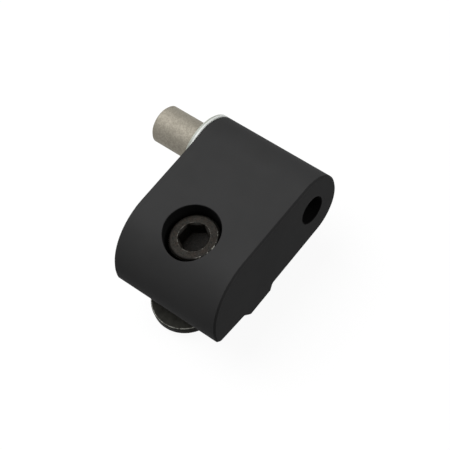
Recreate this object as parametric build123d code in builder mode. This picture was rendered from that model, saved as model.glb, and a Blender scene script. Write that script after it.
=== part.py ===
"""Pin leaf of a lift-off hinge for slotted profile, with its mounting screw and offset slot nut.

Millimetres. The origin is on the pin axis, in the plane where the mating leaf bears on the washer.
+Y runs out along the free end of the pin, +Z points away from the profile, and the nose of the
leaf points along -X.
"""

from build123d import *

import os
from math import asin, cos, degrees, isclose, radians, sin, tan

# Leaf, a profile cut to length
leaf_length = 30.16
barrel_radius = 8.73
top_length = 22.1
top_tilt = 1.0
nose_radius = 14.0
nose_corner_radius = 1.7
nose_relief_angle = 7.2
end_edge_break = 0.4

# Rib that centres the leaf in the profile's slot, a little nearer the pin than the screw
rib_height = 1.6
rib_root_width = 10.0
rib_tip_width = 7.5
rib_offset = 0.6
rib_corner_radius = 0.5

# Hinge pin, pressed into a blind bore that a knockout hole meets from the other end
pin_radius = 4.7625
pin_reach = 14.29
pin_seat_depth = 23.81
pin_end_chamfer = 0.5
knockout_radius = 3.44
knockout_edge_break = 0.15

# Thrust washer, snapped into a shallow groove of the pin
washer_thickness = 1.1
washer_radius = 8.75
washer_edge_break = 0.15
washer_play = 0.05
washer_bore_clearance = 0.05
groove_depth = 0.2

# Socket head cap screw, 5/16-18 by 11/16, and its holes
screw_setback = 22.2
screw_radius = 3.97
screw_length = 17.46
screw_tip_chamfer = 0.6
head_radius = 5.955
head_height = 7.94
head_chamfer = 0.5
head_recess = 2.55
socket_across_flats = 6.35
socket_depth = 3.84
socket_point_depth = 1.1
counterbore_clearance = 0.85
counterbore_edge_break = 0.15
screw_hole_clearance = 0.25

# Slot nut, a round-ended plate whose thread is off its middle, with a collar under it
nut_drop = 5.22
nut_thickness = 1.95
nut_width = 17.2
nut_length = 22.4
nut_thread_offset = 4.4
nut_swing = 160.5
nut_edge_round = 0.35
collar_radius = 6.35
collar_height = 3.0
collar_edge_break = 0.4
thread_clearance = 0.05
thread_mouth_chamfer = 0.35

# Levels and places that follow from the sizes above
leaf_face = washer_thickness + washer_play
leaf_middle = leaf_face + leaf_length / 2
mounting_level = -barrel_radius
rib_level = mounting_level - rib_height
rib_setback = screw_setback - rib_offset
top_level = barrel_radius * cos(radians(top_tilt)) + top_length * sin(radians(top_tilt))
nose_centre_level = top_level - nose_radius * cos(radians(top_tilt))
nose_sweep = 90 + top_tilt + degrees(asin((nose_centre_level - mounting_level) / nose_radius))
head_level = top_level - head_recess
seat_level = head_level - head_height
screw_tip_level = seat_level - screw_length
nut_level = mounting_level - nut_drop
pin_length = pin_seat_depth + pin_reach
groove_radius = pin_radius - groove_depth

# Planes across the pin look towards the washer, and planes across the screw look down on its head
washer_side_plane = Plane((0, -leaf_face, 0), x_dir=(1, 0, 0), z_dir=(0, -1, 0))
seat_floor_plane = washer_side_plane.offset(pin_seat_depth)
near_end_plane = washer_side_plane.offset(leaf_length)
screw_section_plane = Plane((-screw_setback, -leaf_middle, 0), x_dir=(1, 0, 0), z_dir=(0, -1, 0))
screw_plane = Plane((-screw_setback, -leaf_middle, 0))
nut_plane = screw_plane.offset(nut_level).rotated((0, 0, nut_swing))


def write(part, name):
    """Label one finished piece and write it as its own file."""
    part.label = name
    export_step(part, os.path.join("parts", name + ".step"))
    print(f"{name}: {part.volume:.1f} mm3")


os.makedirs("parts", exist_ok=True)

# Leaf body: barrel, flat top, round nose and ribbed underside in one outline
with BuildPart() as leaf_body:
    with BuildSketch(washer_side_plane) as leaf_outline:
        with BuildLine():
            barrel = CenterArc((0, 0), barrel_radius, -90, 180 - top_tilt)
            top = Line(barrel @ 1, barrel @ 1 + barrel % 1 * top_length)
            nose = JernArc(top @ 1, top % 1, nose_radius, nose_sweep)
            Line(nose @ 1, barrel @ 0)
        make_face()
        # Under the nose the land slopes up from the rib, so the screw loads the barrel side
        relief_run = top_length + nose_radius
        relief_rise = relief_run * tan(radians(nose_relief_angle))
        with Locations((-screw_setback, mounting_level)):
            Polygon((0, 0), (-relief_run, relief_rise), (-relief_run, 0), mode=Mode.SUBTRACT)
        fillet(leaf_outline.vertices().sort_by(Axis.X)[0], nose_corner_radius)
        # The rib's flanks run on into the leaf, so that they meet the sloping land too
        tip_half = rib_tip_width / 2
        sunk_half = rib_root_width - tip_half
        with Locations((-rib_setback, rib_level)):
            Polygon(
                (-tip_half, 0),
                (tip_half, 0),
                (sunk_half, 2 * rib_height),
                (-sunk_half, 2 * rib_height),
            )
        rib_corners = leaf_outline.vertices().sort_by_distance((-rib_setback, rib_level))[:4]
        fillet(rib_corners, rib_corner_radius)
    extrude(amount=leaf_length)
    chamfer(leaf_body.faces().filter_by(Axis.Y).edges(), end_edge_break)

    with Locations(washer_side_plane):
        Hole(pin_radius, depth=pin_seat_depth)
    with Locations(near_end_plane):
        Hole(knockout_radius, depth=leaf_length - pin_seat_depth)
    knockout_mouth = leaf_body.faces().sort_by(Axis.Y)[0].inner_wires()[0]
    chamfer(knockout_mouth.edges(), knockout_edge_break)

    counterbore_radius = head_radius + counterbore_clearance
    with Locations(screw_plane.offset(top_level)):
        CounterBoreHole(
            screw_radius + screw_hole_clearance,
            counterbore_radius,
            head_recess + head_height,
        )
    # The rim crosses from the flat top onto the nose
    counterbore_wall = leaf_body.faces().filter_by(
        lambda face: face.radius is not None and isclose(face.radius, counterbore_radius)
    )[0]
    chamfer(counterbore_wall.edges().sort_by(Axis.Z)[-1], counterbore_edge_break)

# Hinge pin: a plain dowel with broken ends and the washer's groove
with BuildPart() as hinge_pin:
    with BuildSketch(seat_floor_plane):
        Circle(pin_radius)
    extrude(amount=-pin_length)
    chamfer(hinge_pin.edges(), pin_end_chamfer)
    with BuildSketch(washer_side_plane):
        Circle(pin_radius)
        Circle(groove_radius, mode=Mode.SUBTRACT)
    extrude(amount=-(leaf_face + washer_play), mode=Mode.SUBTRACT)

# Thrust washer: turns on the floor of the groove, between the two leaves
with BuildPart() as thrust_washer:
    with BuildSketch(washer_side_plane.offset(-washer_play)):
        Circle(washer_radius)
        Circle(groove_radius + washer_bore_clearance, mode=Mode.SUBTRACT)
    extrude(amount=-washer_thickness)
    washer_rims = thrust_washer.edges().group_by(Edge.length)[-1]
    chamfer(washer_rims, washer_edge_break)

# Mounting screw: head sunk in the counterbore, with a plain shank where the thread is
with BuildPart() as mounting_screw:
    with BuildSketch(screw_section_plane):
        with BuildLine():
            Polyline(
                (0, head_level),
                (head_radius - head_chamfer, head_level),
                (head_radius, head_level - head_chamfer),
                (head_radius, seat_level),
                (screw_radius, seat_level),
                (screw_radius, screw_tip_level + screw_tip_chamfer),
                (screw_radius - screw_tip_chamfer, screw_tip_level),
                (0, screw_tip_level),
                close=True,
            )
        make_face()
    revolve(axis=Axis(screw_plane.origin, screw_plane.z_dir))
    with BuildSketch(screw_plane.offset(head_level)):
        RegularPolygon(socket_across_flats / 2, side_count=6, major_radius=False)
    extrude(amount=-socket_depth, mode=Mode.SUBTRACT)
    with Locations(screw_plane.offset(head_level - socket_depth)):
        Cone(
            0,
            socket_across_flats / 2,
            socket_point_depth,
            align=(Align.CENTER, Align.CENTER, Align.MAX),
            mode=Mode.SUBTRACT,
        )

# Slot nut: hangs on the screw, turned across the slot as it is before it is fitted
with BuildPart() as slot_nut:
    with BuildSketch(nut_plane):
        with Locations((nut_thread_offset, 0)):
            SlotOverall(nut_length, nut_width)
    extrude(amount=-nut_thickness)
    fillet(slot_nut.faces().sort_by(Axis.Z)[-1].edges(), nut_edge_round)
    with BuildSketch(nut_plane.offset(-nut_thickness)):
        Circle(collar_radius)
    extrude(amount=-collar_height)
    chamfer(slot_nut.faces().sort_by(Axis.Z)[0].edges(), collar_edge_break)
    with Locations(nut_plane):
        Hole(screw_radius + thread_clearance)
    thread_mouths = slot_nut.faces().filter_by(Axis.Z).filter_by(lambda face: face.inner_wires())
    chamfer([face.inner_wires()[0].edges()[0] for face in thread_mouths], thread_mouth_chamfer)

write(leaf_body.part, "leaf_body")
write(hinge_pin.part, "hinge_pin")
write(thrust_washer.part, "thrust_washer")
write(mounting_screw.part, "mounting_screw")
write(slot_nut.part, "slot_nut")
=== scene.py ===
"""Looks for the pin leaf of a lift-off hinge: leaf, hinge pin, thrust washer, screw and slot nut.

Metres, in the CAD model's frame. The hinge pin lies along Y, the leaf's nose points along -X, and
the mounting screw stands along Z.
"""

from math import cos, pi, radians, sin

import bmesh
import bpy
from bpy.props import FloatProperty, FloatVectorProperty, IntProperty, PointerProperty
from mathutils import Matrix, Vector


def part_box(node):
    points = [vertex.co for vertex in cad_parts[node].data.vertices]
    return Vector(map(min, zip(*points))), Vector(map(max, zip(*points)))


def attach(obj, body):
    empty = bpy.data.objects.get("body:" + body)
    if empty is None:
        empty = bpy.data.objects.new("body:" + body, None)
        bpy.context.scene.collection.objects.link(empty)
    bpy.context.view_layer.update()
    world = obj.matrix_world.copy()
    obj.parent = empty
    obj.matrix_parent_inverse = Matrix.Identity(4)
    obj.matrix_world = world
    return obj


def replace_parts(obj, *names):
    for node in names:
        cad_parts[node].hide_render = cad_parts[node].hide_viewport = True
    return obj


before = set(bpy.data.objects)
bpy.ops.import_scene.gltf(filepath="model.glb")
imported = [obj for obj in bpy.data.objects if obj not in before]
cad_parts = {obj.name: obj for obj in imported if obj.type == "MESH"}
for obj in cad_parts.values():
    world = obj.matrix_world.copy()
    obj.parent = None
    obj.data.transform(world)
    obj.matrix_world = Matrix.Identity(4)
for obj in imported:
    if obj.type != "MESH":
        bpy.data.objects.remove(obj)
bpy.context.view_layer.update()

bl_info = {
    "name": "Lift-off Hinge Pin Leaf",
    "version": (1, 0, 0),
    "blender": (4, 5, 0),
    "location": "View3D > Sidebar > Hinge",
    "description": "Dresses the pin leaf of a lift-off hinge with finishes, threads and studio",
    "category": "Object",
}

MM = 0.001
FULL_TURN = 2 * pi
BLACK = (0.0, 0.0, 0.0)

# Places that the CAD model gives
LEAF_LOW, LEAF_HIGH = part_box("leaf_body")
WASHER_LOW, WASHER_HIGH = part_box("thrust_washer")
SCREW_LOW, SCREW_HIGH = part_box("mounting_screw")
NUT_LOW, NUT_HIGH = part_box("slot_nut")
SCREW_AXIS = (SCREW_LOW + SCREW_HIGH) / 2
HEAD_RADIUS = (SCREW_HIGH.x - SCREW_LOW.x) / 2

# How far the painted shade reaches in the leaf's holes, each a little past the real wall
COUNTERBORE_REACH = 6.855 * MM
KNOCKOUT_REACH = 3.6 * MM
KNOCKOUT_DEPTH = 7.0 * MM

# The bevel round the leaf's ends, and how near to an end a point counts as on it
END_BEVEL = 0.40 * MM
END_SKIN = 0.02 * MM

# Fineness of the meshes
LATHE_SEGMENTS = 96
THREAD_COLUMNS = 72
SMOOTH_ANGLE = radians(30.0)
WELD = 0.0005 * MM
THREAD_WELD = 0.001 * MM

# The bevel under the screw's head, what the knurl leaves bare of the head's side in all, the gap
# from the hexagon's corners to its round mouth, and how far the nut's thread is let into its bore
HEAD_FOOT = 0.2 * MM
KNURL_MARGINS = 0.3 * MM
MOUTH_CLEARANCE = 0.06 * MM
SLEEVE_OVERLAP = 0.01 * MM

# Each lamp is its direction from the leaf, its size and its power
LAMP_DISTANCE = 0.6
LAMPS = {
    "overhead": ((0.03, 0.42, 0.90), 0.55, 4.0),
    "front": ((0.30, -0.85, 0.45), 0.30, 0.95),
}

# The floor's grey as it lights the object, and its grey and its own light as it is seen
FLOOR_GAP = 0.05 * MM
FLOOR_PLAIN = 0.24
FLOOR_SHADOWED = 0.09
FLOOR_GLOW = 0.93

# The surroundings' strength as light, in reflections at the horizon, and its rise overhead
SKY_FILL = 0.13
SKY_SHEEN = 0.55
SKY_SHEEN_RISE = 0.30


def length(default, name, description):
    """A length in metres that a user can change."""
    return FloatProperty(
        name=name, description=description, default=default, min=0.0, precision=6, unit="LENGTH"
    )


def colour(default, name, description):
    """A linear colour that a user can change."""
    return FloatVectorProperty(
        name=name,
        description=description,
        default=default,
        size=3,
        min=0.0,
        max=1.0,
        subtype="COLOR",
    )


class HINGE_PG_finishes(bpy.types.PropertyGroup):
    """Colours of the object's finishes."""

    anodised: colour((0.037, 0.037, 0.0373), "Anodised", "Black anodised aluminium of the leaf")
    steel: colour((0.325, 0.302, 0.256), "Pin steel", "Ground stainless steel of the hinge pin")
    steel_stain: colour((0.245, 0.228, 0.187), "Pin stain", "Dull patches on the hinge pin")
    nylon: colour((0.68, 0.70, 0.675), "Nylon", "Natural white of the thrust washer")
    nylon_worn: colour((0.34, 0.36, 0.31), "Worn nylon", "Half that the mating leaf rubs on")
    oxide: colour((0.021, 0.020, 0.0165), "Black oxide", "Finish of the mounting screw")
    oxide_warm: colour((0.026, 0.019, 0.014), "Oiled oxide", "Warmer patches on the screw's head")
    oxide_pit: colour((0.006, 0.006, 0.005), "Pitted oxide", "Dark pits on the screw's head")
    gunmetal: colour((0.050, 0.0493, 0.043), "Gunmetal", "Finish of the slot nut")
    # Painted shade: a darker copy of the gunmetal for the side of the nut's plate
    gunmetal_shaded: colour((0.004, 0.004, 0.0035), "Gunmetal side", "Dark side of the nut's plate")
    # Partly wear and partly painted light: also paints the glints on the screw's rim and mouth and
    # the highlight on the nut's edge
    wear_glint_steel: colour((0.42, 0.42, 0.38), "Bare steel", "Edges where a finish has rubbed through")


class HINGE_PG_screw(bpy.types.PropertyGroup):
    """Sizes of the mounting screw."""

    shank_radius: length(3.97 * MM, "Shank radius", "Radius over the thread's crests")
    root_radius: length(3.10 * MM, "Root radius", "Radius at the thread's roots")
    pitch: length(25.4 / 18 * MM, "Pitch", "Rise of one turn of the thread")
    tip_chamfer: length(0.75 * MM, "Tip chamfer", "Height of the cone at the screw's tip")
    head_height: length(7.94 * MM, "Head height", "Height of the socket head")
    head_round: length(0.45 * MM, "Head rounding", "Radius of the head's upper edge")
    key_size: length(6.35 * MM, "Key size", "Width across the flats of the hexagon")
    key_depth: length(3.84 * MM, "Key depth", "Depth of the hexagon")
    key_lead: length(0.30 * MM, "Key lead-in", "Depth of the cone at the hexagon's mouth")
    key_point: length(1.1 * MM, "Key point", "Depth of the drill point under the hexagon")
    knurl_depth: length(0.16 * MM, "Knurl depth", "How far the knurl stands out of the head")
    knurl_count: IntProperty(
        name="Knurls", description="Number of ridges round the head", default=72, min=12, max=200
    )


class HINGE_PG_nut(bpy.types.PropertyGroup):
    """Sizes of the slot nut's thread and plate."""

    bore_radius: length(4.02 * MM, "Bore radius", "Radius of the plain bore that holds the thread")
    thread_root: length(3.995 * MM, "Thread root", "Radius at the bottom of the nut's thread")
    thread_crest: length(3.36 * MM, "Thread crest", "Radius over the crests of the nut's thread")
    mouth: length(0.35 * MM, "Mouth", "Depth of the cone at each end of the thread")
    plate_width: length(17.2 * MM, "Plate width", "Width of the round-ended plate")
    plate_length: length(22.4 * MM, "Plate length", "Length of the round-ended plate")
    thread_offset: length(
        4.4 * MM, "Thread offset", "From the thread's axis to the plate's middle"
    )
    swing: FloatProperty(
        name="Swing",
        description="How far the plate is turned from the X axis",
        default=radians(160.5),
        unit="ROTATION",
    )


class HINGE_PG_stage(bpy.types.PropertyGroup):
    """Camera and studio."""

    camera_place: FloatVectorProperty(
        name="Camera",
        description="Where the camera stands",
        default=(-114.37 * MM, -171.41 * MM, 295.96 * MM),
        subtype="TRANSLATION",
        unit="LENGTH",
        precision=5,
    )
    camera_aim: FloatVectorProperty(
        name="Aim",
        description="The point in the middle of the picture",
        default=(-16.03 * MM, -20.29 * MM, 6.60 * MM),
        subtype="TRANSLATION",
        unit="LENGTH",
        precision=5,
    )
    camera_roll: FloatProperty(
        name="Roll",
        description="Turn of the camera about its view",
        default=radians(-20.90),
        unit="ROTATION",
    )
    focal_length: FloatProperty(
        name="Focal length",
        description="On a 36 mm wide sensor, in millimetres",
        default=123.39,
        min=10.0,
    )
    floor_size: length(4.0, "Floor size", "Width of the square floor")


class Signal:
    """One output of a node, which adds Math nodes as it is used in an expression."""

    def __init__(self, wiring, node, output=0):
        self.wiring = wiring
        self.node = node
        self.output = output

    @property
    def socket(self):
        return self.node.outputs[self.output]

    def out(self, output):
        """Another output of the same node."""
        return Signal(self.wiring, self.node, output)

    def maths(self, operation, *values):
        """A Math node of the given operation on the given values."""
        return self.wiring.add("ShaderNodeMath", {"operation": operation}, dict(enumerate(values)))

    def __add__(self, other):
        return self.maths("ADD", self, other)

    def __radd__(self, other):
        return self.maths("ADD", other, self)

    def __sub__(self, other):
        return self.maths("SUBTRACT", self, other)

    def __rsub__(self, other):
        return self.maths("SUBTRACT", other, self)

    def __mul__(self, other):
        return self.maths("MULTIPLY", self, other)

    def __rmul__(self, other):
        return self.maths("MULTIPLY", other, self)

    def __truediv__(self, other):
        return self.maths("DIVIDE", self, other)

    def __rtruediv__(self, other):
        return self.maths("DIVIDE", other, self)

    def __pow__(self, other):
        return self.maths("POWER", self, other)

    def __mod__(self, other):
        return self.maths("FLOORED_MODULO", self, other)

    def __lt__(self, other):
        return self.maths("LESS_THAN", self, other)

    def __gt__(self, other):
        return self.maths("GREATER_THAN", self, other)

    def __abs__(self):
        return self.maths("ABSOLUTE", self)

    def floor(self):
        return self.maths("FLOOR", self)

    def sine(self):
        return self.maths("SINE", self)

    def cosine(self):
        return self.maths("COSINE", self)

    def length_with(self, other):
        """The length of the vector whose two parts are this value and the other."""
        return (self * self + other * other) ** 0.5

    def least(self, other):
        return self.maths("MINIMUM", self, other)

    def most(self, other):
        return self.maths("MAXIMUM", self, other)

    def between(self, low, high):
        """1 above low and below high, and 0 elsewhere."""
        return (self > low) * (self < high)

    def step(self, start, end):
        """0 below start, 1 above end, and a smooth rise between them."""
        return self.wiring.add(
            "ShaderNodeMapRange",
            {"interpolation_type": "SMOOTHSTEP", "clamp": True},
            {"Value": self, "From Min": start, "From Max": end, "To Min": 0.0, "To Max": 1.0},
        )


class Wiring:
    """Adds nodes to one node tree."""

    def __init__(self, tree):
        self.tree = tree

    def add(self, kind, settings=None, inputs=None, output=0):
        """A node of the given type. Its settings come first, then its sockets by name or place."""
        node = self.tree.nodes.new(kind)
        for name, value in (settings or {}).items():
            setattr(node, name, value)
        for name, value in (inputs or {}).items():
            socket = node.inputs[name]
            if isinstance(value, Signal):
                self.tree.links.new(value.socket, socket)
            else:
                socket.default_value = value
        return Signal(self, node, output)

    def parts(self, vector):
        """The X, Y and Z of a vector."""
        node = self.add("ShaderNodeSeparateXYZ", inputs={0: vector})
        return node, node.out(1), node.out(2)

    def vector(self, x, y, z):
        return self.add("ShaderNodeCombineXYZ", inputs={0: x, 1: y, 2: z})

    def place(self):
        """The point being shaded, in the object's own metres."""
        return self.add("ShaderNodeTexCoord", output="Object")

    def stretched(self, vector, scale, turn=(0.0, 0.0, 0.0), centre=(0.0, 0.0, 0.0)):
        """A pattern's coordinates about a centre, turned and stretched."""
        moved = self.add("ShaderNodeVectorMath", {"operation": "SUBTRACT"}, {0: vector, 1: centre})
        return self.add(
            "ShaderNodeMapping",
            {"vector_type": "POINT"},
            {"Vector": moved, "Rotation": turn, "Scale": scale},
        )

    def noise(self, vector, size, detail=3.0, rough=0.55):
        """Noise whose features are about the given size in metres."""
        return self.add(
            "ShaderNodeTexNoise",
            {"noise_dimensions": "3D"},
            {"Vector": vector, "Scale": 1.0 / size, "Detail": detail, "Roughness": rough},
        )

    def mix(self, factor, first, second):
        """A colour between two colours or links."""
        return self.add(
            "ShaderNodeMix",
            {"data_type": "RGBA", "clamp_factor": True},
            {0: factor, 6: opaque(first), 7: opaque(second)},
            output=2,
        )

    def mottled(self, factor, base, darkest, lightest):
        """A colour that varies between two multiples of itself."""
        return self.mix(factor, tinted(base, darkest), tinted(base, lightest))

    def bump(self, height, distance, strength):
        """A normal that tilts with a height, where distance is the height's size in metres."""
        return self.add(
            "ShaderNodeBump",
            inputs={"Height": height, "Distance": distance, "Strength": strength},
        )

    def surface(self, inputs):
        """The tree's Principled shader and its output."""
        shader = self.add("ShaderNodeBsdfPrincipled", inputs=inputs)
        self.add("ShaderNodeOutputMaterial", inputs={"Surface": shader})


def opaque(value):
    """A colour with its alpha, or a link as it is."""
    return value if isinstance(value, Signal) else (*value, 1.0)


def grey(level):
    """A grey, or white at a level of 1, with its alpha."""
    return (level, level, level, 1.0)


def tinted(colour_value, factor):
    """The colour times a factor."""
    return tuple(factor * part for part in colour_value)


def new_material(name):
    """An empty material and the wiring of its tree."""
    material = bpy.data.materials.new(name)
    material.use_nodes = True
    material.node_tree.nodes.clear()
    return material, Wiring(material.node_tree)


def anodised_material(finishes):
    """Black anodised aluminium: matte, with a fine grain and faint lines along the profile."""
    material, wiring = new_material("leaf_anodised")
    place = wiring.place()
    x, y, z = wiring.parts(place)
    grain = wiring.noise(place, 0.12 * MM, detail=2.0)
    cloud = wiring.noise(place, 9 * MM, detail=2.0)
    drawn = wiring.noise(wiring.stretched(place, (1.0, 0.02, 1.0)), 0.25 * MM, detail=2.0)

    # Painted shade: the counterbore and the knockout hole are darkened inside, where shade falls
    from_screw = (x - SCREW_AXIS.x).length_with(y - SCREW_AXIS.y)
    in_knockout = (x.length_with(z) < KNOCKOUT_REACH) * (y < LEAF_LOW.y + KNOCKOUT_DEPTH)
    hole_shade = (from_screw < COUNTERBORE_REACH).most(in_knockout)
    shade = wiring.mottled(cloud.step(0.35, 0.65), finishes.anodised, 0.97, 1.03)
    shade = wiring.mix(hole_shade, shade, tinted(finishes.anodised, 0.25))

    # Painted shade: the bevel round each sawn end is darkened too
    on_ends = (y < LEAF_LOW.y + END_SKIN).most(y > LEAF_HIGH.y - END_SKIN)
    on_bevel = (y < LEAF_LOW.y + END_BEVEL).most(y > LEAF_HIGH.y - END_BEVEL) - on_ends
    shade = wiring.mix(0.22 * on_bevel, shade, BLACK)

    # The drawn faces have a slight sheen, which fades low on the nose and round the barrel's far
    # side, and the sawn ends have none
    faded = (1.0 - z.step(-5 * MM, 4 * MM)).most(x.step(-2 * MM, 6 * MM))
    on_drawn = (1.0 - on_ends - on_bevel) * (1.0 - hole_shade) * (1.0 - faded)
    wiring.surface(
        {
            "Base Color": shade,
            "Roughness": 0.50 + 0.10 * grain + 0.06 * drawn + 0.25 * hole_shade,
            "Normal": wiring.bump(grain + 0.35 * drawn, 0.006 * MM, 0.6),
            "Specular IOR Level": 0.015,
            "Coat Weight": 0.035 * on_drawn,
            "Coat Roughness": 0.45,
        }
    )
    return material


def pin_material(finishes):
    """Ground stainless steel with dull patches and fine rings round the pin."""
    material, wiring = new_material("pin_steel")
    place = wiring.place()
    blotch = wiring.noise(place, 0.9 * MM, detail=6.0, rough=0.75)
    speck = wiring.noise(place, 0.32 * MM, detail=4.0, rough=0.75)
    rings = wiring.noise(wiring.stretched(place, (0.05, 1.0, 0.05)), 0.12 * MM, detail=2.0)
    clean = (0.45 * blotch + 0.55 * speck).step(0.40, 0.60)
    wiring.surface(
        {
            "Base Color": wiring.mix(clean, finishes.steel_stain, finishes.steel),
            "Metallic": 1.0,
            "Roughness": 0.72 - 0.06 * clean + 0.08 * speck,
            "Normal": wiring.bump(0.4 * rings + speck, 0.016 * MM, 0.7),
        }
    )
    return material


def nylon_material(finishes):
    """Natural nylon, which lets a little light through."""
    material, wiring = new_material("washer_nylon")
    place = wiring.place()
    y = wiring.parts(place)[1]
    cloud = wiring.noise(place, 2.2 * MM, detail=3.0)
    grain = wiring.noise(place, 0.15 * MM, detail=2.0)
    shade = wiring.mottled(cloud, finishes.nylon, 0.94, 1.05)

    # The half that the mating leaf rubs on is greyer, up to a soft and slightly wavy line
    middle = (WASHER_LOW.y + WASHER_HIGH.y) / 2
    outer = (y + 0.10 * MM * cloud).step(middle - 0.04 * MM, middle + 0.10 * MM)
    shade = wiring.mix(outer * (0.65 + 0.35 * cloud), shade, finishes.nylon_worn)
    wiring.surface(
        {
            "Base Color": shade,
            "Roughness": 0.38 + 0.12 * grain,
            "Normal": wiring.bump(grain, 0.008 * MM, 0.5),
            "Subsurface Weight": 0.25,
            "Subsurface Radius": (1.0, 1.0, 0.95),
            "Subsurface Scale": 0.6 * MM,
            "IOR": 1.53,
        }
    )
    return material


def oxide_material(finishes, mouth_radius):
    """Black oxide over steel: dark, oily and uneven, with bare metal at the sharpest edges that is
    partly painted glint, and painted shade on the rounded edge and in the socket.
    """
    material, wiring = new_material("screw_black_oxide")
    place = wiring.place()
    x, y, z = wiring.parts(place)
    blotch = wiring.noise(place, 1.1 * MM, detail=5.0, rough=0.7)
    grit = wiring.noise(place, 0.34 * MM, detail=3.0, rough=0.7)
    shade = wiring.mix(blotch.step(0.35, 0.65), finishes.oxide, finishes.oxide_warm)
    shade = wiring.mix(0.85 * grit.step(0.48, 0.60), shade, finishes.oxide_pit)

    # Bare metal shows in spots on one side of the rim and round the socket's mouth, partly wear
    # and partly painted glints; the side is the one that faces the front lamp
    from_axis = (x - SCREW_AXIS.x).length_with(y - SCREW_AXIS.y)
    near_top = z > SCREW_HIGH.z - 0.5 * MM
    rim_inner, rim_outer = HEAD_RADIUS - 0.66 * MM, HEAD_RADIUS - 0.30 * MM
    on_rim = from_axis.between(rim_inner, rim_outer) * near_top
    on_mouth = from_axis.between(mouth_radius - 0.06 * MM, mouth_radius + 0.14 * MM) * near_top
    glint_side = ((SCREW_AXIS.y - y) / from_axis).step(0.50, 0.80)
    spots_of_glint_wear = (0.5 * blotch + 0.5 * grit).step(0.49, 0.57)
    wear_and_glint = (on_rim * glint_side).most(0.5 * on_mouth) * spots_of_glint_wear
    shade = wiring.mix(0.42 * wear_and_glint, shade, finishes.wear_glint_steel)

    # Painted shade: the rounded edge is darkened, and so is the socket from its mouth down
    edge_shade = from_axis.step(HEAD_RADIUS - 0.95 * MM, rim_outer)
    shade = wiring.mix(0.75 * edge_shade * (1.0 - wear_and_glint), shade, BLACK)
    socket_shade = (from_axis < mouth_radius) * (z < SCREW_HIGH.z - 0.01 * MM)
    shade = wiring.mix(0.65 * socket_shade, shade, BLACK)
    wiring.surface(
        {
            "Base Color": shade,
            "Metallic": 0.8 * wear_and_glint,
            "Roughness": 0.38 + 0.18 * grit,
            "Normal": wiring.bump(grit + blotch, 0.09 * MM, 0.9),
            "Specular IOR Level": 0.08,
        }
    )
    return material


def gunmetal_material(finishes, nut):
    """Dark plated steel, rubbed bright round the plate's upper edge, partly wear and partly a
    painted highlight, with painted shade on the plate's side.
    """
    material, wiring = new_material("nut_steel")
    place = wiring.place()
    z = wiring.parts(place)[2]
    blotch = wiring.noise(place, 1.5 * MM, detail=5.0, rough=0.6)
    grit = wiring.noise(place, 0.14 * MM, detail=3.0, rough=0.7)
    shade = wiring.mottled(blotch.step(0.3, 0.7), finishes.gunmetal, 0.8, 1.2)

    # Distance from the line down the plate's middle, in the plate's own directions
    centre = (SCREW_AXIS.x, SCREW_AXIS.y, 0.0)
    own_place = wiring.stretched(place, (1.0, 1.0, 1.0), (0.0, 0.0, -nut.swing), centre)
    along, across, _ = wiring.parts(own_place)
    half_straight = (nut.plate_length - nut.plate_width) / 2
    past_straight = abs(along - nut.thread_offset) - half_straight
    from_spine = past_straight.most(0.0).length_with(across)

    # The plate's upper edge is rubbed bright, partly wear and partly a painted highlight, and its
    # side is darkened with painted shade
    rim = nut.plate_width / 2
    on_edge = from_spine.step(rim - 0.34 * MM, rim - 0.22 * MM) * (z > NUT_HIGH.z - 0.11 * MM)
    wear_and_glint = on_edge * (0.6 * blotch + 0.4 * grit).step(0.36, 0.52)
    on_side = from_spine.step(rim - 0.20 * MM, rim - 0.10 * MM) * (1.0 - on_edge)
    shade = wiring.mix(0.5 * wear_and_glint, shade, finishes.wear_glint_steel)
    shade = wiring.mix(0.65 * on_side, shade, finishes.gunmetal_shaded)
    wiring.surface(
        {
            "Base Color": shade,
            "Metallic": 0.8 * wear_and_glint,
            "Specular IOR Level": 0.015,
            "Roughness": 0.34 + 0.20 * grit - 0.08 * wear_and_glint,
            "Normal": wiring.bump(grit + 0.6 * blotch, 0.03 * MM, 0.6),
        }
    )
    return material


def wear(node_name, material):
    """Gives a CAD node's object the material."""
    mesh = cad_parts[node_name].data
    mesh.materials.clear()
    mesh.materials.append(material)


def mesh_piece(name, mesh, body):
    """An object for a finished mesh, shaded smooth between gentle angles, riding on its body."""
    solid = bmesh.new()
    solid.from_mesh(mesh)
    bmesh.ops.remove_doubles(solid, verts=solid.verts, dist=WELD)
    bmesh.ops.recalc_face_normals(solid, faces=solid.faces)
    solid.to_mesh(mesh)
    solid.free()
    mesh.shade_smooth()
    mesh.set_sharp_from_angle(angle=SMOOTH_ANGLE)
    piece = bpy.data.objects.new(name, mesh)
    bpy.context.scene.collection.objects.link(piece)
    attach(piece, body)
    return piece


def lathe_mesh(name, rings, axis):
    """A closed form of rings about an upright axis. A ring is its radius, level and sides.

    A ring with no sides is round. A polygon's radius is that of the circle inside it. A ring of
    radius 0 is a point.
    """
    solid = bmesh.new()
    loops = []
    for radius, level, sides in rings:
        if radius == 0:
            loops.append([solid.verts.new((axis.x, axis.y, level))])
            continue
        loop = []
        for step in range(LATHE_SEGMENTS):
            angle = FULL_TURN * step / LATHE_SEGMENTS
            reach = radius
            if sides:
                reach = radius / cos((angle % (FULL_TURN / sides)) - pi / sides)
            spot = (axis.x + reach * cos(angle), axis.y + reach * sin(angle), level)
            loop.append(solid.verts.new(spot))
        loops.append(loop)
    for first, second in zip(loops, loops[1:]):
        for step in range(LATHE_SEGMENTS):
            after = (step + 1) % LATHE_SEGMENTS
            corners = [first[step % len(first)], first[after % len(first)]]
            corners += [second[after % len(second)], second[step % len(second)]]
            solid.faces.new(list(dict.fromkeys(corners)))
    mesh = bpy.data.meshes.new(name)
    solid.to_mesh(mesh)
    solid.free()
    return mesh


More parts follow.
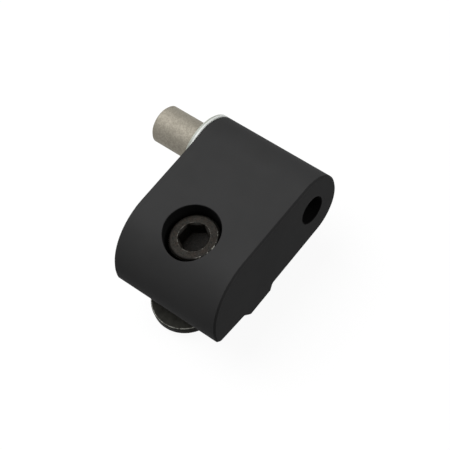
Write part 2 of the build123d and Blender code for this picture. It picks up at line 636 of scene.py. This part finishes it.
def new_geometry_tree(name, sizes):
    """A Geometry Nodes tree with a float input for each named size and a material input."""
    tree = bpy.data.node_groups.new(name, "GeometryNodeTree")
    tree.interface.new_socket("Geometry", in_out="INPUT", socket_type="NodeSocketGeometry")
    for size in sizes:
        tree.interface.new_socket(size, in_out="INPUT", socket_type="NodeSocketFloat")
    tree.interface.new_socket("Material", in_out="INPUT", socket_type="NodeSocketMaterial")
    tree.interface.new_socket("Geometry", in_out="OUTPUT", socket_type="NodeSocketGeometry")
    wiring = Wiring(tree)
    return tree, wiring, wiring.add("NodeGroupInput")


def close_tree(wiring, given, geometry):
    """Ends a tree in real geometry with its material."""
    real = wiring.add("GeometryNodeRealizeInstances", inputs={"Geometry": geometry})
    coated = wiring.add(
        "GeometryNodeSetMaterial", inputs={"Geometry": real, "Material": given.out("Material")}
    )
    wiring.add("NodeGroupOutput", inputs={"Geometry": coated})


def joined(wiring, first, second):
    """Two geometries as one."""
    both = wiring.add("GeometryNodeJoinGeometry")
    for part in (first, second):
        wiring.tree.links.new(part.socket, both.node.inputs[0])
    return both


def raised(wiring, geometry, level):
    """The geometry moved up to a level."""
    return wiring.add(
        "GeometryNodeTransform",
        inputs={"Geometry": geometry, "Translation": wiring.vector(0.0, 0.0, level)},
    )


def thread_tree(inside):
    """A helical thread between two levels, as a screw's outer surface or as a sleeve's inner one.

    Four rows of points make each turn: both edges of the crest, then both edges of the root. A
    column of points climbs by its share of the pitch, so that the rows follow the helix.
    """
    tree, wiring, given = new_geometry_tree(
        "Inner thread" if inside else "Outer thread",
        ["Crest Radius", "Root Radius", "Pitch", "Start", "Bottom", "Top"]
        + ["End Radius", "Columns", "Rows"],
    )
    columns, rows = given.out("Columns"), given.out("Rows")
    grid = wiring.add(
        "GeometryNodeMeshGrid",
        inputs={"Size X": 1.0, "Size Y": 1.0, "Vertices X": columns + 1.0, "Vertices Y": rows},
    )
    x, y, _ = wiring.parts(wiring.add("GeometryNodeInputPosition"))
    around = x + 0.5
    row = ((y + 0.5) * (rows - 1.0) + 0.5).floor()

    # Where a row stands in its turn, as shares of the pitch
    crest_width, root_start, root_width = 1 / 8, 7 / 16, 1 / 4
    corner = row % 4.0
    on_root = corner > 1.5
    on_crest_share = (1.0 - on_root) * corner * crest_width
    on_root_share = on_root * (root_start + (corner - 2.0) * root_width)
    turns = (row / 4.0).floor() + (on_crest_share + on_root_share) + around

    # The thread is cut off level at both ends, where it runs out to a cone
    bottom, top = given.out("Bottom"), given.out("Top")
    level = (given.out("Start") + turns * given.out("Pitch")).most(bottom).least(top)
    crest, root, end = given.out("Crest Radius"), given.out("Root Radius"), given.out("End Radius")
    radius = crest + on_root * (root - crest)
    from_ends = (level - bottom).least(top - level)
    if inside:
        radius = radius.most(end - from_ends)
    else:
        radius = radius.least(end + from_ends)
    angle = around * FULL_TURN
    spot = wiring.vector(radius * angle.cosine(), radius * angle.sine(), level)
    helix = wiring.add("GeometryNodeSetPosition", inputs={"Geometry": grid, "Position": spot})

    # A sleeve is closed by the tube behind its thread, and a screw by a disc at each end
    if inside:
        tube = wiring.add(
            "GeometryNodeMeshCylinder",
            {"fill_type": "NONE"},
            {"Vertices": columns, "Radius": end, "Depth": top - bottom},
        )
        closing = raised(wiring, tube, (top + bottom) * 0.5)
    else:
        discs = []
        for end_level in (bottom, top):
            disc = wiring.add(
                "GeometryNodeMeshCircle",
                {"fill_type": "NGON"},
                {"Vertices": columns, "Radius": end},
            )
            discs.append(raised(wiring, disc, end_level))
        closing = joined(wiring, *discs)
    whole = wiring.add(
        "GeometryNodeMergeByDistance",
        inputs={"Geometry": joined(wiring, helix, closing), "Distance": THREAD_WELD},
    )
    close_tree(wiring, given, whole)
    return tree


def knurl_tree():
    """Upright ridges round a head, each one a square bar with one edge outwards."""
    sizes = ["Radius", "Ridge", "Height", "Middle", "Count"]
    tree, wiring, given = new_geometry_tree("Knurl", sizes)
    count = given.out("Count")
    ring = wiring.add(
        "GeometryNodeMeshCircle", inputs={"Vertices": count, "Radius": given.out("Radius")}
    )
    bar = wiring.add(
        "GeometryNodeMeshCylinder",
        {"fill_type": "NGON"},
        {"Vertices": 4, "Radius": given.out("Ridge"), "Depth": given.out("Height")},
    )
    turn = wiring.add("GeometryNodeInputIndex") * FULL_TURN / count
    ridges = wiring.add(
        "GeometryNodeInstanceOnPoints",
        inputs={"Points": ring, "Instance": bar, "Rotation": wiring.vector(0.0, 0.0, turn)},
    )
    close_tree(wiring, given, raised(wiring, ridges, given.out("Middle")))
    return tree


def grown_mesh(name, tree, material, sizes):
    """The mesh that a Geometry Nodes tree makes, moved to the screw's axis."""
    holder = bpy.data.objects.new(name + "_holder", bpy.data.meshes.new(name + "_holder"))
    bpy.context.scene.collection.objects.link(holder)
    modifier = holder.modifiers.new(name, "NODES")
    modifier.node_group = tree
    for item in tree.interface.items_tree:
        if item.in_out != "INPUT":
            continue
        if item.name in sizes:
            modifier[item.identifier] = float(sizes[item.name])
        elif item.name == "Material":
            modifier[item.identifier] = material
    evaluated = holder.evaluated_get(bpy.context.evaluated_depsgraph_get())
    mesh = bpy.data.meshes.new_from_object(evaluated)
    mesh.name = name
    holder.modifiers.remove(modifier)
    bpy.data.objects.remove(holder)
    mesh.transform(Matrix.Translation((SCREW_AXIS.x, SCREW_AXIS.y, 0.0)))
    return mesh


def thread_mesh(name, inside, material, pitch, radii, levels):
    """A thread between two levels. Its radii are those of its two tips and of its ends.

    The screw's thread and the nut's start at one level, so that each runs in the other. Turns to
    spare at both ends are cut off.
    """
    crest, root, end = radii
    bottom, top = levels
    sizes = {
        "Crest Radius": crest,
        "Root Radius": root,
        "Pitch": pitch,
        "Start": SCREW_LOW.z - pitch,
        "Bottom": bottom,
        "Top": top,
        "End Radius": end,
        "Columns": THREAD_COLUMNS,
        "Rows": 4 * (int((top - bottom) / pitch) + 4),
    }
    return grown_mesh(name, thread_tree(inside), material, sizes)


def knurl_mesh(name, material, screw, core_radius, seat):
    """The knurl round the screw's head, clear of its foot and of its rounded edge."""
    height = screw.head_height - screw.head_round - KNURL_MARGINS
    sizes = {
        "Radius": core_radius,
        "Ridge": screw.knurl_depth,
        "Height": height,
        "Middle": seat + HEAD_FOOT + height / 2,
        "Count": screw.knurl_count,
    }
    return grown_mesh(name, knurl_tree(), material, sizes)


def mouth_of(screw):
    """Radius of the round mouth that takes in the hexagon's corners."""
    return screw.key_size / 2 / cos(pi / 6) + MOUTH_CLEARANCE


def head_rings(screw, core_radius):
    """Rings of the socket head, from under it up its side, over its rim and down the socket."""
    top = SCREW_HIGH.z
    seat = top - screw.head_height
    rim = screw.head_round
    flat = screw.key_size / 2
    floor = top - screw.key_depth
    rings = [(0.0, seat, 0), (core_radius - HEAD_FOOT, seat, 0)]
    rings += [(core_radius, seat + HEAD_FOOT, 0), (core_radius, top - rim, 0)]
    for step in range(1, 6):
        angle = radians(90 * step / 5)
        rings.append((core_radius - rim * (1 - cos(angle)), top - rim * (1 - sin(angle)), 0))
    rings += [(mouth_of(screw), top, 0), (flat, top - screw.key_lead, 6), (flat, floor, 6)]
    rings += [(flat - 0.05 * MM, floor, 0), (0.0, floor - screw.key_point, 0)]
    return rings


class HINGE_OT_leaf(bpy.types.Operator):
    """Finish the leaf in black anodising"""

    bl_idname = "hinge.leaf"
    bl_label = "Leaf"

    def execute(self, context):
        wear("leaf_body", anodised_material(context.scene.hinge_finishes))
        return {"FINISHED"}


class HINGE_OT_pin(bpy.types.Operator):
    """Finish the hinge pin in ground steel"""

    bl_idname = "hinge.pin"
    bl_label = "Hinge pin"

    def execute(self, context):
        wear("hinge_pin", pin_material(context.scene.hinge_finishes))
        return {"FINISHED"}


class HINGE_OT_washer(bpy.types.Operator):
    """Finish the thrust washer in natural nylon"""

    bl_idname = "hinge.washer"
    bl_label = "Thrust washer"

    def execute(self, context):
        wear("thrust_washer", nylon_material(context.scene.hinge_finishes))
        return {"FINISHED"}


class HINGE_OT_screw(bpy.types.Operator):
    """Build the socket head screw with its thread and knurl"""

    bl_idname = "hinge.screw"
    bl_label = "Mounting screw"

    def execute(self, context):
        screw = context.scene.hinge_screw
        material = oxide_material(context.scene.hinge_finishes, mouth_of(screw))
        seat = SCREW_HIGH.z - screw.head_height
        core_radius = HEAD_RADIUS - screw.knurl_depth

        head = lathe_mesh("screw_head", head_rings(screw, core_radius), SCREW_AXIS)
        head.materials.append(material)
        knurl = knurl_mesh("screw_knurl", material, screw, core_radius, seat)
        tip_radius = screw.shank_radius - screw.tip_chamfer
        radii = (screw.shank_radius, screw.root_radius, tip_radius)
        levels = (SCREW_LOW.z, seat)
        thread = thread_mesh("screw_thread", False, material, screw.pitch, radii, levels)
        for name, mesh in (("screw_head", head), ("screw_knurl", knurl), ("screw_thread", thread)):
            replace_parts(mesh_piece(name, mesh, "screw"), "mounting_screw")
        return {"FINISHED"}


class HINGE_OT_nut(bpy.types.Operator):
    """Finish the slot nut and cut its thread"""

    bl_idname = "hinge.nut"
    bl_label = "Slot nut"

    def execute(self, context):
        nut, screw = context.scene.hinge_nut, context.scene.hinge_screw
        material = gunmetal_material(context.scene.hinge_finishes, nut)
        wear("slot_nut", material)
        radii = (nut.thread_root, nut.thread_crest, nut.bore_radius + SLEEVE_OVERLAP)
        levels = (NUT_LOW.z + nut.mouth, NUT_HIGH.z - nut.mouth)
        thread = thread_mesh("nut_thread", True, material, screw.pitch, radii, levels)
        mesh_piece("nut_thread", thread, "nut")
        return {"FINISHED"}


def floor_material():
    """White floor: bright in the picture and in reflections, and plain where it lights the object.

    Part of the brightness that shows is light on the floor, so that the object's shadow stays.
    """
    material, wiring = new_material("floor")
    path = wiring.add("ShaderNodeLightPath")
    seen = path.out("Is Camera Ray").most(path.out("Is Glossy Ray"))
    seen = seen.most(path.out("Is Transmission Ray"))
    plain = wiring.add("ShaderNodeBsdfDiffuse", inputs={"Color": grey(FLOOR_PLAIN)})
    shadowed = wiring.add("ShaderNodeBsdfDiffuse", inputs={"Color": grey(FLOOR_SHADOWED)})
    glow = wiring.add("ShaderNodeEmission", inputs={"Color": grey(1.0), "Strength": FLOOR_GLOW})
    bright = wiring.add("ShaderNodeAddShader", inputs={0: shadowed, 1: glow})
    shown = wiring.add("ShaderNodeMixShader", inputs={0: seen, 1: plain, 2: bright})
    clear = wiring.add("ShaderNodeBsdfTransparent")
    under = wiring.add("ShaderNodeNewGeometry", output="Backfacing")
    whole = wiring.add("ShaderNodeMixShader", inputs={0: under, 1: shown, 2: clear})
    wiring.add("ShaderNodeOutputMaterial", inputs={"Surface": whole})
    return material


def make_floor(size):
    """A square floor just under the nut."""
    level = NUT_LOW.z - FLOOR_GAP
    half = size / 2
    corners = [(half * x, half * y, level) for x, y in ((-1, -1), (1, -1), (1, 1), (-1, 1))]
    mesh = bpy.data.meshes.new("floor")
    mesh.from_pydata(corners, [], [(0, 1, 2, 3)])
    mesh.materials.append(floor_material())
    floor = bpy.data.objects.new("floor", mesh)
    bpy.context.scene.collection.objects.link(floor)


def aimed(target, place, aim, roll=0.0):
    """Puts an object at a place, looking at a point, turned about its view."""
    place, aim = Vector(place), Vector(aim)
    turn = (aim - place).to_track_quat("-Z", "Y").to_matrix().to_4x4()
    target.matrix_world = Matrix.Translation(place) @ turn @ Matrix.Rotation(roll, 4, "Z")


def make_camera(stage):
    """The camera of the photograph."""
    lens = bpy.data.cameras.new("camera")
    lens.sensor_width = 36.0
    lens.lens = stage.focal_length
    lens.clip_start, lens.clip_end = 0.01, 10.0
    camera = bpy.data.objects.new("camera", lens)
    bpy.context.scene.collection.objects.link(camera)
    aimed(camera, stage.camera_place, stage.camera_aim, stage.camera_roll)
    bpy.context.scene.camera = camera


def make_lamp(name, place, aim, size, power):
    """A soft square lamp."""
    light = bpy.data.lights.new(name, "AREA")
    light.shape = "SQUARE"
    light.size = size
    light.energy = power
    lamp = bpy.data.objects.new(name, light)
    bpy.context.scene.collection.objects.link(lamp)
    aimed(lamp, place, aim)


def make_world():
    """Surroundings: white to the camera, paler above in reflections, and dim as light."""
    world = bpy.data.worlds.new("studio")
    bpy.context.scene.world = world
    world.use_nodes = True
    world.node_tree.nodes.clear()
    wiring = Wiring(world.node_tree)
    path = wiring.add("ShaderNodeLightPath")
    seen = path.out("Is Camera Ray")
    mirrored = path.out("Is Glossy Ray")
    height = wiring.parts(wiring.add("ShaderNodeTexCoord", output="Generated"))[2]
    sheen = SKY_SHEEN + SKY_SHEEN_RISE * height.step(0.0, 0.9)
    around = SKY_FILL + mirrored * (sheen - SKY_FILL)
    strength = around + seen * (1.0 - around)
    sky = wiring.add("ShaderNodeBackground", inputs={"Color": grey(1.0), "Strength": strength})
    wiring.add("ShaderNodeOutputWorld", inputs={"Surface": sky})


class HINGE_OT_stage(bpy.types.Operator):
    """Set up the floor, the lamps, the surroundings and the camera"""

    bl_idname = "hinge.stage"
    bl_label = "Studio"

    def execute(self, context):
        stage = context.scene.hinge_stage
        make_floor(stage.floor_size)
        make_world()
        middle = (LEAF_LOW + LEAF_HIGH) / 2
        for name, (direction, size, power) in LAMPS.items():
            make_lamp(name, middle + LAMP_DISTANCE * Vector(direction), middle, size, power)
        make_camera(stage)
        context.scene.view_settings.view_transform = "Standard"
        return {"FINISHED"}


class HINGE_PT_sidebar(bpy.types.Panel):
    """Buttons that dress the hinge"""

    bl_idname = "HINGE_PT_sidebar"
    bl_label = "Hinge Pin Leaf"
    bl_space_type = "VIEW_3D"
    bl_region_type = "UI"
    bl_category = "Hinge"

    def draw(self, context):
        for operator in OPERATORS:
            self.layout.operator(operator.bl_idname)
        for group_name in GROUPS:
            box = self.layout.box()
            group = getattr(context.scene, group_name)
            for name in group.bl_rna.properties.keys():
                if name not in ("rna_type", "name"):
                    box.prop(group, name)


OPERATORS = (
    HINGE_OT_leaf,
    HINGE_OT_pin,
    HINGE_OT_washer,
    HINGE_OT_screw,
    HINGE_OT_nut,
    HINGE_OT_stage,
)
GROUPS = {
    "hinge_finishes": HINGE_PG_finishes,
    "hinge_screw": HINGE_PG_screw,
    "hinge_nut": HINGE_PG_nut,
    "hinge_stage": HINGE_PG_stage,
}


def register():
    for group_name, group in GROUPS.items():
        bpy.utils.register_class(group)
        setattr(bpy.types.Scene, group_name, PointerProperty(type=group))
    for operator in OPERATORS:
        bpy.utils.register_class(operator)
    bpy.utils.register_class(HINGE_PT_sidebar)


def unregister():
    bpy.utils.unregister_class(HINGE_PT_sidebar)
    for operator in reversed(OPERATORS):
        bpy.utils.unregister_class(operator)
    for group_name, group in reversed(list(GROUPS.items())):
        delattr(bpy.types.Scene, group_name)
        bpy.utils.unregister_class(group)


def main():
    register()
    bpy.ops.hinge.leaf()
    bpy.ops.hinge.pin()
    bpy.ops.hinge.washer()
    bpy.ops.hinge.screw()
    bpy.ops.hinge.nut()
    bpy.ops.hinge.stage()


if __name__ == "__main__":
    main()
